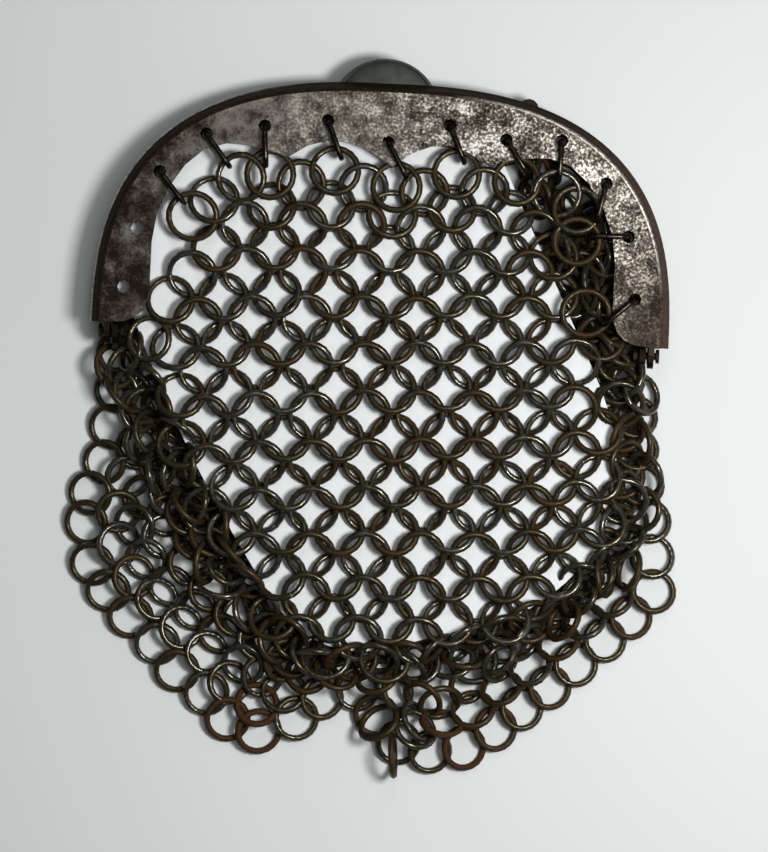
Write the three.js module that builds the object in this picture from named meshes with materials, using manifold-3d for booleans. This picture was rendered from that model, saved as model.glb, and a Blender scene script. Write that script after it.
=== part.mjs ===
// Chain-mail coin purse: a closed steel frame with a pouch of linked rings and a card inside,
// lying on its back. Millimetres, +Z up. Places are measured from the middle of the hinge line,
// at the height of the surface that the purse lies on, with +Y towards the top of the frame.

import * as THREE from 'three';
import { mergeVertices } from 'three/addons/utils/BufferGeometryUtils.js';
import Module from 'manifold-3d';

const wasm = await Module();
wasm.setup();

// Clear distance between neighbouring pieces
const GAP = 0.3;

// Closing frame: a superellipse arch, a touch squarer on its right shoulder
const ARCH = {
  halfWidth: 35,
  height: 30.45,
  squarenessLeft: 2.62,
  squarenessRight: 2.68,
  steps: 30,
};
const SHEET = 0.7;
const RIM_FLARE = 1.0;
const LIMB_INNER = 28;
const LIMB_END_RADIUS = 4.4;
const LIMB_TOP = 10;
const HOLE_RADIUS = 0.8;
const HOLE_SIDES = 8;

// Scalloped inner edge of the arch, from the shoulder to the middle
const SHOULDER = { x: 19.5, y: 22.2, pullUp: 5, pullOut: 4.5 };
const SIDE_CUSP = { x: 12, y: 20.9 };
const VALLEY = { x: 6.4, y: 25.7 };
const MIDDLE_CUSP = { x: 0.6, y: 20.3 };

// Connecting links: flattened rings of round wire
const LINK = { wire: 0.75, endRadius: 1.2, length: 4.8, ringSides: 10, wireSides: 5 };

// Holes along the arch from left to right: place, way the link leans from straight down towards +X
// in degrees, and whether the link is still there
const HOLES = [
  { x: -31.1, y: 4.3, lean: 90, linked: false },
  { x: -29.8, y: 11.4, lean: 84, linked: false },
  { x: -27.4, y: 18.4, lean: 40, linked: true },
  { x: -22.0, y: 23.2, lean: 38, linked: true },
  { x: -15.0, y: 24.5, lean: 4, linked: true },
  { x: -7.4, y: 25.5, lean: 22, linked: true },
  { x: 0.0, y: 23.2, lean: 30, linked: true },
  { x: 7.3, y: 25.6, lean: 24, linked: true },
  { x: 14.2, y: 24.2, lean: 34, linked: true },
  { x: 20.9, y: 24.4, lean: -2, linked: true },
  { x: 26.5, y: 19.5, lean: -12, linked: true },
  { x: 29.5, y: 13.2, lean: -88, linked: true },
  { x: 30.6, y: 5.7, lean: -48, linked: true },
];

// Heights: the back half stands on its links, the front half closes over the card
const LINK_RISE = LINK.endRadius + LINK.wire / 2;
const BACK_LEVEL = LINK_RISE;
const FRONT_LEVEL = BACK_LEVEL + 2 * LINK_RISE + 1.4;
const PARTING = (BACK_LEVEL + FRONT_LEVEL) / 2;

// Hinge at the limb ends
const HINGE = {
  y: -1.0,
  earRadius: 1.5,
  frontEarX: 32.6,
  backEarX: 31.6,
  earThickness: 0.7,
  earRoot: 3.0,
  pinRadius: 0.45,
  pinHeadRadius: 0.85,
  pinHead: 0.4,
  sides: 12,
};
const TONGUE = { inner: 29.9, outer: 32.3, end: -3.5, root: 2.5, cornerRadius: 1.2 };

// Thumb piece at the top and the small stud beside it
const DISC = { x: -0.6, y: 26.8, radius: 6.7, thickness: 0.8, cutY: 24.5, sides: 36 };
const DISC_POST = { x: -0.6, y: 26.6, radius: 1.2 };
const STUD = { x: 16.8, y: 28.3, radius: 1.2, height: 1.3 };

// Mail: one sheet thickness and the middle that both panels spread from
const MAIL = 2.2;
const MAIL_CENTRE = new THREE.Vector2(0.5, -12);

// Hem from the left hinge round the bottom to the right one: place, and the share of the way out
// where the front panel bends down past the card
const HEM = [
  { x: -34.0, y: -4.3, bend: 0.85 },
  { x: -33.8, y: -13.0, bend: 0.75 },
  { x: -36.5, y: -24.6, bend: 0.6 },
  { x: -35.0, y: -32.4, bend: 0.58 },
  { x: -18.8, y: -49.2, bend: 0.63 },
  { x: -12.6, y: -51.8, bend: 0.66 },
  { x: -2.0, y: -45.4, bend: 0.86 },
  { x: 4.4, y: -53.0, bend: 0.69 },
  { x: 12.8, y: -52.6, bend: 0.66 },
  { x: 23.4, y: -45.2, bend: 0.71 },
  { x: 35.8, y: -32.8, bend: 0.77 },
  { x: 37.5, y: -24.6, bend: 0.81 },
  { x: 35.0, y: -14.0, bend: 0.9 },
  { x: 34.0, y: -4.3, bend: 0.87 },
];
const HEM_STEPS = 2 * (HEM.length - 1);
const HEM_RISE = 3.0;
const HEM_FOOT = 0.4;
const HEM_ROUND = 0.97;

// Rings of points from the middle of the mail outwards: the one at the bend, and the first at the edge
const BEND_RING = 2;
const EDGE_RING = 3;

// Mouth of the pouch along the frame
const MOUTH = { beforeEye: 1.4, lost: 6.0, rise: 7.0, clear: 3.0 };
const HINGE_CLEAR = { x: 29.6, y: -4.3 };

// Diamond gaps of the net
const NET = { pitch: 10, halfDiagonal: 2.9, edge: 4.6, topY: 16, rows: 14, columns: 4 };

// Card: sloping from the frame down to the bottom of the pouch
const CARD = { thickness: 0.6, topY: 20, bottomY: -38 };
const CARD_TOP_LEVEL = BACK_LEVEL + LINK_RISE + GAP;
const CARD_BOTTOM_LEVEL = MAIL + GAP;

// Edge of the card, clockwise from its top right corner: each place, and the point its curve is drawn to
const CARD_EDGE = [
  { x: 13.6, y: 22.4, towardsX: 6.0, towardsY: 23.6 },
  { x: 26.5, y: -3.8, towardsX: 20.0, towardsY: 9.3 },
  { x: 29.0, y: -20.1, towardsX: 30.8, towardsY: -12.5 },
  { x: 18.2, y: -33.3, towardsX: 27.2, towardsY: -28.2 },
  { x: 2.0, y: -38.2, towardsX: 10.1, towardsY: -35.8 },
  { x: -10.6, y: -33.7, towardsX: -5.8, towardsY: -39.6 },
  { x: -29.8, y: 0.6, towardsX: -22.4, towardsY: -17.6 },
  { x: -8.0, y: 23.4, towardsX: -31.5, towardsY: 27.6 },
];
const CARD_CURVE_STEPS = 8;

// Mesh joining and cutting

/** Closed solid of a geometry, with its shared points merged. */
function solid(geometry) {
  const bare = geometry.index ? geometry.toNonIndexed() : geometry.clone();
  bare.deleteAttribute('normal');
  bare.deleteAttribute('uv');
  const merged = mergeVertices(bare, 1e-4);
  const keep = [];
  const index = merged.index.array;
  for (let i = 0; i < index.length; i += 3) {
    const [a, b, c] = [index[i], index[i + 1], index[i + 2]];
    if (a !== b && b !== c && c !== a) keep.push(a, b, c);
  }
  return new wasm.Manifold(new wasm.Mesh({
    numProp: 3,
    vertProperties: new Float32Array(merged.attributes.position.array),
    triVerts: new Uint32Array(keep),
  }));
}

/** Geometry of a solid, ready for a mesh. */
function geometryOf(body) {
  const mesh = body.getMesh();
  const geometry = new THREE.BufferGeometry();
  geometry.setAttribute('position', new THREE.BufferAttribute(mesh.vertProperties, mesh.numProp));
  geometry.setIndex(new THREE.BufferAttribute(mesh.triVerts, 1));
  geometry.computeVertexNormals();
  return geometry;
}

function joined(solids) {
  return solids.reduce((sum, next) => sum.add(next));
}

function cut(body, cutters) {
  return cutters.reduce((rest, next) => rest.subtract(next), body);
}

/** Upright prism of a flat shape between two heights. */
function prism(shape, low, high, curveSegments = 5) {
  const geometry = new THREE.ExtrudeGeometry(shape, {
    depth: high - low,
    bevelEnabled: false,
    curveSegments,
  });
  geometry.translate(0, 0, low);
  return solid(geometry);
}

/** Upright round post or hole. */
function post(x, y, radius, low, high, sides = HOLE_SIDES) {
  const geometry = new THREE.CylinderGeometry(radius, radius, high - low, sides);
  geometry.rotateX(Math.PI / 2);
  geometry.translate(x, y, (low + high) / 2);
  return solid(geometry);
}

/** Round bar along X between two places. */
function crossBar(fromX, toX, y, z, radius) {
  const geometry = new THREE.CylinderGeometry(radius, radius, Math.abs(toX - fromX), HINGE.sides);
  geometry.rotateZ(Math.PI / 2);
  geometry.translate((fromX + toX) / 2, y, z);
  return solid(geometry);
}

/** Box between two corners. */
function block(x0, y0, z0, x1, y1, z1) {
  const geometry = new THREE.BoxGeometry(Math.abs(x1 - x0), Math.abs(y1 - y0), Math.abs(z1 - z0));
  geometry.translate((x0 + x1) / 2, (y0 + y1) / 2, (z0 + z1) / 2);
  return solid(geometry);
}

// Frame halves

/** Points of the arch from the right limb over the top to the left one, drawn in by an inset. */
function archPoints(inset) {
  const points = [];
  for (let i = 0; i <= ARCH.steps; i += 1) {
    const angle = (Math.PI * i) / ARCH.steps;
    const across = Math.cos(angle);
    const power = 2 / (across < 0 ? ARCH.squarenessLeft : ARCH.squarenessRight);
    const x = Math.sign(across) * (ARCH.halfWidth - inset) * Math.abs(across) ** power;
    const y = (ARCH.height - inset) * Math.abs(Math.sin(angle)) ** power;
    points.push(new THREE.Vector2(x, i === 0 || i === ARCH.steps ? 0 : y));
  }
  return points;
}

/** Flat plate of one half: the arch outside, limbs and three cusps inside. */
function plateShape() {
  const outer = archPoints(RIM_FLARE);
  const shape = new THREE.Shape(outer);
  const cornerX = LIMB_INNER + LIMB_END_RADIUS;
  shape.lineTo(-cornerX, 0);
  shape.quadraticCurveTo(-LIMB_INNER, 0, -LIMB_INNER, LIMB_END_RADIUS);
  shape.lineTo(-LIMB_INNER, LIMB_TOP);
  shape.bezierCurveTo(
    -LIMB_INNER, LIMB_TOP + SHOULDER.pullUp,
    -SHOULDER.x - SHOULDER.pullOut, SHOULDER.y,
    -SHOULDER.x, SHOULDER.y,
  );
  shape.quadraticCurveTo((-SHOULDER.x - SIDE_CUSP.x) / 2, SHOULDER.y, -SIDE_CUSP.x, SIDE_CUSP.y);
  shape.quadraticCurveTo(-VALLEY.x, VALLEY.y, MIDDLE_CUSP.x, MIDDLE_CUSP.y);
  shape.quadraticCurveTo(VALLEY.x, VALLEY.y, SIDE_CUSP.x, SIDE_CUSP.y);
  shape.quadraticCurveTo((SHOULDER.x + SIDE_CUSP.x) / 2, SHOULDER.y, SHOULDER.x, SHOULDER.y);
  shape.bezierCurveTo(
    SHOULDER.x + SHOULDER.pullOut, SHOULDER.y,
    LIMB_INNER, LIMB_TOP + SHOULDER.pullUp,
    LIMB_INNER, LIMB_TOP,
  );
  shape.lineTo(LIMB_INNER, LIMB_END_RADIUS);
  shape.quadraticCurveTo(LIMB_INNER, 0, cornerX, 0);
  return shape;
}

/** Flared wall of one half, from its plate's edge at one height to its lip at another. */
function rimWall(plateHeight, lipHeight) {
  const section = [
    { inset: RIM_FLARE, z: plateHeight },
    { inset: 0, z: lipHeight },
    { inset: SHEET, z: lipHeight },
    { inset: RIM_FLARE + SHEET, z: plateHeight },
  ];
  if (lipHeight > plateHeight) section.reverse();
  const routes = section.map((corner) => archPoints(corner.inset));
  const strip = new THREE.BoxGeometry(1, 1, 1, 1, 1, ARCH.steps);
  const position = strip.attributes.position;
  for (let i = 0; i < position.count; i += 1) {
    const right = position.getX(i) > 0;
    const upper = position.getY(i) > 0;
    const corner = upper ? 3 - Number(right) : Number(right);
    const step = Math.round((position.getZ(i) + 0.5) * ARCH.steps);
    const place = routes[corner][step];
    position.setXYZ(i, place.x, place.y, section[corner].z);
  }
  return solid(strip);
}

/** Plate and wall of one half, with its holes. */
function frameHalf(level, outwards) {
  const low = level - SHEET / 2;
  const high = level + SHEET / 2;
  const outerFace = outwards > 0 ? high : low;
  const lip = PARTING + (outwards * GAP) / 2;
  const plate = prism(plateShape(), low, high);
  const holes = HOLES.map((hole) => post(hole.x, hole.y, HOLE_RADIUS, low - 1, high + 1));
  const discSlot = post(
    DISC.x, DISC.y, DISC.radius + GAP,
    PARTING - DISC.thickness / 2 - GAP, PARTING + DISC.thickness / 2 + GAP, DISC.sides,
  );
  return cut(plate.add(rimWall(outerFace, lip)), [...holes, discSlot]);
}

/** Front half: ears that hang from the plate outside the tongues of the back half. */
function frontFrame() {
  const ears = [-1, 1].flatMap((side) => {
    const inner = side * HINGE.frontEarX;
    const outer = side * (HINGE.frontEarX + HINGE.earThickness);
    return [
      crossBar(inner, outer, HINGE.y, PARTING, HINGE.earRadius),
      block(inner, HINGE.y, PARTING + GAP, outer, HINGE.earRoot, FRONT_LEVEL),
    ];
  });
  const bores = [-1, 1].map((side) => crossBar(
    side * (HINGE.frontEarX - 1), side * (HINGE.frontEarX + 2),
    HINGE.y, PARTING, HINGE.pinRadius + GAP,
  ));
  return cut(joined([frameHalf(FRONT_LEVEL, 1), ...ears]), bores);
}

/** Tongue of the back half's limb end, with its side wall and round ear. */
function tongue(side) {
  const low = BACK_LEVEL - SHEET / 2;
  const shape = new THREE.Shape();
  shape.moveTo(side * TONGUE.outer, TONGUE.root);
  shape.lineTo(side * TONGUE.inner, TONGUE.root);
  shape.lineTo(side * TONGUE.inner, TONGUE.end + TONGUE.cornerRadius);
  shape.quadraticCurveTo(
    side * TONGUE.inner, TONGUE.end,
    side * (TONGUE.inner + TONGUE.cornerRadius), TONGUE.end,
  );
  shape.lineTo(side * TONGUE.outer, TONGUE.end);
  const outer = side * (HINGE.backEarX + HINGE.earThickness);
  return [
    prism(shape, low, low + SHEET),
    block(side * HINGE.backEarX, TONGUE.end, low, outer, HINGE.y + HINGE.earRadius, PARTING),
    crossBar(side * HINGE.backEarX, outer, HINGE.y, PARTING, HINGE.earRadius),
  ];
}

/** Back half: tongues, the post under the thumb piece and the stud on its lip. */
function backFrame() {
  const low = BACK_LEVEL - SHEET / 2;
  const lip = PARTING - GAP / 2;
  const extras = [
    ...tongue(-1),
    ...tongue(1),
    post(DISC_POST.x, DISC_POST.y, DISC_POST.radius, low, PARTING - DISC.thickness / 2 - GAP),
    post(STUD.x, STUD.y, STUD.radius, lip - STUD.height, lip, HINGE.sides),
  ];
  const earRoom = [-1, 1].map((side) => block(
    side * (HINGE.frontEarX - GAP), TONGUE.end,
    low + SHEET, side * (ARCH.halfWidth + 1), HINGE.y + HINGE.earRadius + GAP,
    PARTING + HINGE.earRadius + GAP,
  ));
  const bores = [-1, 1].map((side) => crossBar(
    side * (HINGE.backEarX - 1), side * (HINGE.backEarX + 2),
    HINGE.y, PARTING, HINGE.pinRadius + GAP,
  ));
  const half = cut(frameHalf(BACK_LEVEL, -1), earRoom);
  return cut(joined([half, ...extras]), bores);
}

/** Rivet through both ears of one hinge, with a head at each end. */
function hingePin(side) {
  const inner = HINGE.backEarX - GAP;
  const outer = HINGE.frontEarX + HINGE.earThickness + GAP;
  return joined([
    crossBar(side * inner, side * outer, HINGE.y, PARTING, HINGE.pinRadius),
    crossBar(side * (inner - HINGE.pinHead), side * inner, HINGE.y, PARTING, HINGE.pinHeadRadius),
    crossBar(side * outer, side * (outer + HINGE.pinHead), HINGE.y, PARTING, HINGE.pinHeadRadius),
  ]);
}

/** Thumb piece: a disc cut straight inside the frame. */
function thumbDisc() {
  const low = PARTING - DISC.thickness / 2;
  const high = PARTING + DISC.thickness / 2;
  const disc = post(DISC.x, DISC.y, DISC.radius, low, high, DISC.sides);
  const inside = block(
    DISC.x - DISC.radius, DISC.y - DISC.radius - 1, low - 1,
    DISC.x + DISC.radius, DISC.cutY, high + 1,
  );
  return disc.subtract(inside);
}

// Links

/** Flattened ring of a wire: a torus pulled apart along its length. */
function linkGeometry(wire) {
  const geometry = new THREE.TorusGeometry(LINK.endRadius, wire / 2, LINK.wireSides, LINK.ringSides);
  const pull = LINK.length / 2 - LINK.endRadius;
  const position = geometry.attributes.position;
  for (let i = 0; i < position.count; i += 1) {
    position.setX(i, position.getX(i) + Math.sign(position.getX(i)) * pull);
  }
  return geometry;
}

/** Stands a link upright in its hole, at the height of its plate. */
function placeLink(link, hole, level) {
  const middle = alongLink(hole, LINK.length / 2);
  const direction = linkDirection(hole);
  link.position.set(middle.x, middle.y, level);
  link.rotation.set(Math.PI / 2, 0, Math.atan2(direction.y, direction.x), 'ZYX');
  link.updateMatrix();
  return link;
}

/** Room for a link, wider than its wire by the gap all round. */
function linkRoom(hole, level) {
  const room = placeLink(new THREE.Mesh(linkGeometry(LINK.wire + 2 * GAP)), hole, level);
  return solid(room.geometry.applyMatrix4(room.matrix));
}

function linkDirection(hole) {
  const lean = THREE.MathUtils.degToRad(hole.lean);
  return new THREE.Vector2(Math.sin(lean), -Math.cos(lean));
}

/** Place along a link, counted from its hole. */
function alongLink(hole, distance) {
  return new THREE.Vector2(hole.x, hole.y).addScaledVector(linkDirection(hole), distance);
}

// Mail

/** Level of the card's underside at a place along the purse. */
function cardLevel(y) {
  const share = (y - CARD.bottomY) / (CARD.topY - CARD.bottomY);
  return THREE.MathUtils.lerp(CARD_BOTTOM_LEVEL, CARD_TOP_LEVEL, share);
}

/** Edge of the mail at the mouth, from the left hinge along the frame to the right one. */
function mouthLine() {
  const beforeEye = LINK.length - MOUTH.beforeEye;
  const atHoles = HOLES.map((hole) => alongLink(hole, hole.linked ? beforeEye : MOUTH.lost));
  const cusps = [-SIDE_CUSP.x, SIDE_CUSP.x]
    .map((x) => new THREE.Vector2(x, SIDE_CUSP.y - 2 * GAP));
  cusps.push(new THREE.Vector2(MIDDLE_CUSP.x, MIDDLE_CUSP.y - 2 * GAP));
  const limbs = [-1, 1].map((side) => new THREE.Vector2(side * (LIMB_INNER - 2 * GAP), 0));
  const hinges = [-1, 1].map((side) => new THREE.Vector2(side * HINGE_CLEAR.x, HINGE_CLEAR.y));
  const around = (point) => Math.atan2(point.y - MAIL_CENTRE.y, point.x - MAIL_CENTRE.x);
  return [...hinges, ...limbs, ...atHoles, ...cusps].sort((a, b) => around(b) - around(a));
}

/** Outline of the mail, counter-clockwise: the hem, then the open edge along the frame. */
function mailOutline() {
  const route = new THREE.CatmullRomCurve3(HEM.map((row) => new THREE.Vector3(row.x, row.y, row.bend)));
  const hem = route.getPoints(HEM_STEPS).map((point) => ({
    place: new THREE.Vector2(point.x, point.y),
    bend: point.z,
    open: false,
  }));
  const mouth = mouthLine().reverse().map((place) => ({
    place,
    bend: 1 - MOUTH.rise / place.distanceTo(MAIL_CENTRE),
    open: true,
  }));
  return [...hem, ...mouth];
}

/** Share of the way out, and outer heights, of each ring of points from the middle to the edge. */
function panelRings(point) {
  const rise = HEM_FOOT + (1 - HEM_FOOT) * point.bend;
  const flat = { front: null, back: 0 };
  const atHem = { front: HEM_RISE, back: 0 };
  const atMouth = { front: FRONT_LEVEL + MAIL / 2, back: BACK_LEVEL - MAIL / 2 };
  const edge = point.open ? atMouth : atHem;
  return [
    { share: 0, ...flat },
    { share: point.bend / 2, ...flat },
    { share: point.bend, ...flat },
    { share: point.open ? 1 : rise, ...edge },
    { share: point.open ? 1 : HEM_ROUND, ...edge },
    { share: 1, ...edge },
  ];
}

/** The same for the hollow: it stops at the bend, or runs out through the mouth. */
function hollowRings(point) {
  const rings = panelRings(point);
  if (!point.open) return rings.map((ring, index) => rings[Math.min(index, BEND_RING)]);
  const past = 1 + MOUTH.clear / point.place.distanceTo(MAIL_CENTRE);
  return rings.map((ring, index) => (index > EDGE_RING ? { ...ring, share: past } : ring));
}

/** Closed body between the two panels' faces, set in by a wall. */
function pillow(outline, ringsOf, wall) {
  const last = ringsOf(outline[0]).length - 1;
  const geometry = new THREE.SphereGeometry(1, outline.length, 2 * last);
  const position = geometry.attributes.position;
  for (let i = 0; i < position.count; i += 1) {
    const point = outline[(i % (outline.length + 1)) % outline.length];
    const row = Math.floor(i / (outline.length + 1));
    const ring = ringsOf(point)[last - Math.abs(last - row)];
    const place = MAIL_CENTRE.clone().lerp(point.place, ring.share);
    const overCard = cardLevel(place.y) + CARD.thickness + GAP + MAIL;
    const front = (ring.front ?? overCard) - wall;
    const back = ring.back + wall;
    const heights = [front, (front + back) / 2, back];
    position.setXYZ(i, place.x, place.y, heights[Math.sign(row - last) + 1]);
  }
  return solid(geometry);
}

/** Whether a place lies inside the outline and clear of its edge. */
function insideOutline(outline, place) {
  const way = place.clone().sub(MAIL_CENTRE);
  const towards = outline.reduce((best, point) => {
    const turn = point.place.clone().sub(MAIL_CENTRE).angleTo(way);
    return turn < best.turn ? { turn, reach: point.place.distanceTo(MAIL_CENTRE) } : best;
  }, { turn: Infinity, reach: 0 });
  const clear = outline.every((point) => point.place.distanceTo(place) > NET.edge);
  return clear && way.length() < towards.reach;
}

/** Middles of the diamond gaps, in staggered rows. */
function netPlaces(outline) {
  const places = [];
  for (let row = 0; row <= NET.rows; row += 1) {
    for (let column = -NET.columns; column <= NET.columns; column += 1) {
      const x = MAIL_CENTRE.x + (column + (row % 2) / 2) * NET.pitch;
      places.push(new THREE.Vector2(x, NET.topY - (row * NET.pitch) / 2));
    }
  }
  return places.filter((place) => insideOutline(outline, place));
}

/** Diamond prism through both panels. */
function diamond(place) {
  const reach = NET.halfDiagonal;
  const shape = new THREE.Shape([
    new THREE.Vector2(place.x + reach, place.y),
    new THREE.Vector2(place.x, place.y + reach),
    new THREE.Vector2(place.x - reach, place.y),
    new THREE.Vector2(place.x, place.y - reach),
  ]);
  return prism(shape, -1, FRONT_LEVEL * 2);
}

/** Pouch of mail: two panels joined round the hem, open along the frame, with room for the links. */
function mailBag() {
  const outline = mailOutline();
  const outside = pillow(outline, panelRings, 0);
  const hollow = pillow(outline, hollowRings, MAIL);
  const linked = HOLES.filter((hole) => hole.linked);
  const eyes = [FRONT_LEVEL, BACK_LEVEL].flatMap((level) => linked.map((hole) => linkRoom(hole, level)));
  const net = netPlaces(outline).map(diamond);
  return cut(outside, [hollow, ...eyes, ...net]);
}

/** Card cut to a rounded shield, sloping with the pouch. */
function insertCard() {
  const start = CARD_EDGE.at(-1);
  const shape = new THREE.Shape();
  shape.moveTo(start.x, start.y);
  CARD_EDGE.forEach((row) => shape.quadraticCurveTo(row.towardsX, row.towardsY, row.x, row.y));
  const geometry = new THREE.ExtrudeGeometry(shape, {
    depth: CARD.thickness,
    bevelEnabled: false,
    curveSegments: CARD_CURVE_STEPS,
  });
  const position = geometry.attributes.position;
  for (let i = 0; i < position.count; i += 1) {
    position.setZ(i, position.getZ(i) + cardLevel(position.getY(i)));
  }
  return solid(geometry);
}

// Scene graph

const FINISHES = {
  plate: { color: 0x6f6a62, roughness: 0.5, metalness: 0.9 },
  disc: { color: 0x7d8078, roughness: 0.55, metalness: 0.8 },
  wire: { color: 0x4a4238, roughness: 0.45, metalness: 0.9 },
  card: { color: 0xe6e7e4, roughness: 0.85, metalness: 0 },
};

const purse = new THREE.Group();
const group = new THREE.Group();
group.add(purse);

function addPiece(name, geometry, finish) {
  const piece = new THREE.Mesh(geometry, new THREE.MeshStandardMaterial(FINISHES[finish]));
  piece.name = name;
  purse.add(piece);
  return piece;
}

addPiece('front_frame', geometryOf(frontFrame()), 'plate');
addPiece('back_frame', geometryOf(backFrame()), 'plate');
addPiece('hinge_pin_left', geometryOf(hingePin(-1)), 'plate');
addPiece('hinge_pin_right', geometryOf(hingePin(1)), 'plate');
addPiece('thumb_disc', geometryOf(thumbDisc()), 'disc');
addPiece('mail_bag', geometryOf(mailBag()), 'wire');
addPiece('insert_card', geometryOf(insertCard()), 'card');

const halves = [
  { name: 'front_link', level: FRONT_LEVEL },
  { name: 'back_link', level: BACK_LEVEL },
];
halves.forEach((half) => {
  HOLES.filter((hole) => hole.linked).forEach((hole, index) => {
    const number = String(index + 1).padStart(2, '0');
    const geometry = geometryOf(solid(linkGeometry(LINK.wire)));
    placeLink(addPiece(`${half.name}_${number}`, geometry, 'wire'), hole, half.level);
  });
});

// The origin is under the middle of the whole purse
purse.updateMatrixWorld(true);
const box = new THREE.Box3().setFromObject(purse, true);
const middle = box.getCenter(new THREE.Vector3());
purse.position.set(-middle.x, -middle.y, -box.min.z);

export default group;
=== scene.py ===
"""Looks of a worn chain-mail coin purse that lies on its back with a card inside.

The rings, links, rim and thumb disc are worked out in millimetres from the middle of the hinge line, with +Y
towards the top of the frame and Z counted from the table. Each mesh is turned to metres in the row frame.
"""

import logging
import math
from dataclasses import dataclass, field, replace
from enum import Enum
from typing import Any

import bpy
import numpy as np
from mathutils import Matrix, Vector

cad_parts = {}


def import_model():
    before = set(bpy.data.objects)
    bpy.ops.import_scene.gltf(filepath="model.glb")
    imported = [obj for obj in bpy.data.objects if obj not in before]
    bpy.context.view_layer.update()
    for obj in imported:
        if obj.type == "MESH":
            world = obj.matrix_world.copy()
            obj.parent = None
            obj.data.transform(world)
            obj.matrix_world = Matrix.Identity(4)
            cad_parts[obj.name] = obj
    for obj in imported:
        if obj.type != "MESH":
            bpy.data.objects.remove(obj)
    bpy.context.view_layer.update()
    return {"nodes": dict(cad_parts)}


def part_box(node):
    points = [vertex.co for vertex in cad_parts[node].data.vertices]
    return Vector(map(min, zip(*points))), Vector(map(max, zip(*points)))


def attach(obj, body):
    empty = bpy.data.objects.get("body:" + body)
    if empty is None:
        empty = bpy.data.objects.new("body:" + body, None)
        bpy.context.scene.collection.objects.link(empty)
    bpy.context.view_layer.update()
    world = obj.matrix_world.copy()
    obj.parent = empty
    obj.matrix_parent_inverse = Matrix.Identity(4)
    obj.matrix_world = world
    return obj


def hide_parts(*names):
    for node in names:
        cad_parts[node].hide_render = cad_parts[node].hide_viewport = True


LOG = logging.getLogger("purse")
MM = 0.001
BODY = "root"
TINY = 1e-12

Span = tuple[float, float]
Stops = tuple[tuple[float, str], ...]


class Layer(Enum):
    """Side of the pouch that a sheet of mail belongs to."""

    FRONT = "front"
    BACK = "back"


# Heights and sizes that the solids also have


@dataclass(frozen=True)
class Levels:
    """Heights of the solids above the table, in millimetres."""

    back_plate: float = 1.575
    front_plate: float = 6.125
    plate_top: float = 6.475
    parting: float = 3.85
    card_low: float = 2.5
    card_high: float = 3.45
    card_low_y: float = -38.0
    card_high_y: float = 20.0
    card_thickness: float = 0.6

    def card_top(self, y: np.ndarray) -> np.ndarray:
        """Height of the card's upper face: a straight slope along the purse."""
        share = (y - self.card_low_y) / (self.card_high_y - self.card_low_y)
        return self.card_low + (self.card_high - self.card_low) * share + self.card_thickness


LEVELS = Levels()


@dataclass(frozen=True)
class Hole:
    """Hole of the frame that still has its link, the way the link leans from straight down, and its ring."""

    x: float
    y: float
    lean: float
    ring_x: float
    ring_y: float


HOLES = (
    Hole(-27.4, 18.4, 40, -23.2, 13.2),
    Hole(-22.0, 23.2, 38, -17.6, 18.1),
    Hole(-15.0, 24.5, 4, -14.1, 18.7),
    Hole(-7.4, 25.5, 22, -6.3, 19.5),
    Hole(0.0, 23.2, 30, 1.2, 17.9),
    Hole(7.3, 25.6, 24, 8.4, 19.8),
    Hole(14.2, 24.2, 34, 15.7, 19.3),
    Hole(20.9, 24.4, -2, 20.6, 18.0),
    Hole(26.5, 19.5, -12, 23.1, 16.2),
    Hole(29.5, 13.2, -88, 23.3, 12.4),
    Hole(30.6, 5.7, -48, 24.8, 3.8),
)


@dataclass(frozen=True)
class Bend:
    """Corner of an outline and the point that the curve to it is drawn towards."""

    x: float
    y: float
    towards_x: float
    towards_y: float


CARD_EDGE = (
    Bend(13.6, 22.4, 6.0, 23.6),
    Bend(26.5, -3.8, 20.0, 9.3),
    Bend(29.0, -20.1, 30.8, -12.5),
    Bend(18.2, -33.3, 27.2, -28.2),
    Bend(2.0, -38.2, 10.1, -35.8),
    Bend(-10.6, -33.7, -5.8, -39.6),
    Bend(-29.8, 0.6, -22.4, -17.6),
    Bend(-8.0, 23.4, -31.5, 27.6),
)

# Inner edge of the frame from the left limb to the right one, and the space below it
INNER_EDGE = np.array([
    (-28.0, -2.0), (-28.0, 10.0), (-26.4, 16.4), (-22.6, 21.0), (-12.0, 20.9), (-6.4, 23.0), (0.6, 20.3),
    (6.4, 23.0), (12.0, 20.9), (22.6, 21.0), (26.4, 16.4), (28.0, 10.0), (28.0, -2.0), (40.0, -60.0),
    (-40.0, -60.0),
])

# Hem of the mail from the left hinge round the bottom to the right one
HEM_KNOTS = np.array([
    (-34.4, -3.4), (-34.8, -12.4), (-37.1, -20.6), (-37.6, -26.0), (-34.8, -33.5), (-27.7, -40.6),
    (-21.4, -46.7), (-17.9, -50.0), (-13.2, -51.9), (-7.2, -50.0), (-3.6, -47.2), (-1.8, -46.0),
    (0.2, -49.2), (4.2, -52.8), (8.8, -53.4), (13.2, -52.7), (17.6, -49.9), (24.1, -44.7),
    (30.5, -38.5), (36.6, -32.5), (37.8, -26.1), (36.6, -19.5), (34.8, -12.0), (33.8, -3.4),
])


# Shared geometry


def bend_outline(bends: tuple[Bend, ...], steps: int) -> np.ndarray:
    """Closed outline of quadratic curves: (1-t)^2 A + 2t(1-t) B + t^2 C between corners A and C.

    Args:
        bends: Corners in order, each with the point B of the curve that leads to it.
        steps: Points on each curve.

    Returns:
        Points of the outline, one row each.
    """
    ends = np.array([(bend.x, bend.y) for bend in bends])
    pulls = np.array([(bend.towards_x, bend.towards_y) for bend in bends])
    starts = np.roll(ends, 1, axis=0)
    share = (np.arange(steps) / steps)[None, :, None]
    from_start = (1 - share) ** 2 * starts[:, None]
    curve = from_start + 2 * share * (1 - share) * pulls[:, None] + share**2 * ends[:, None]
    return curve.reshape(-1, 2)


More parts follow.
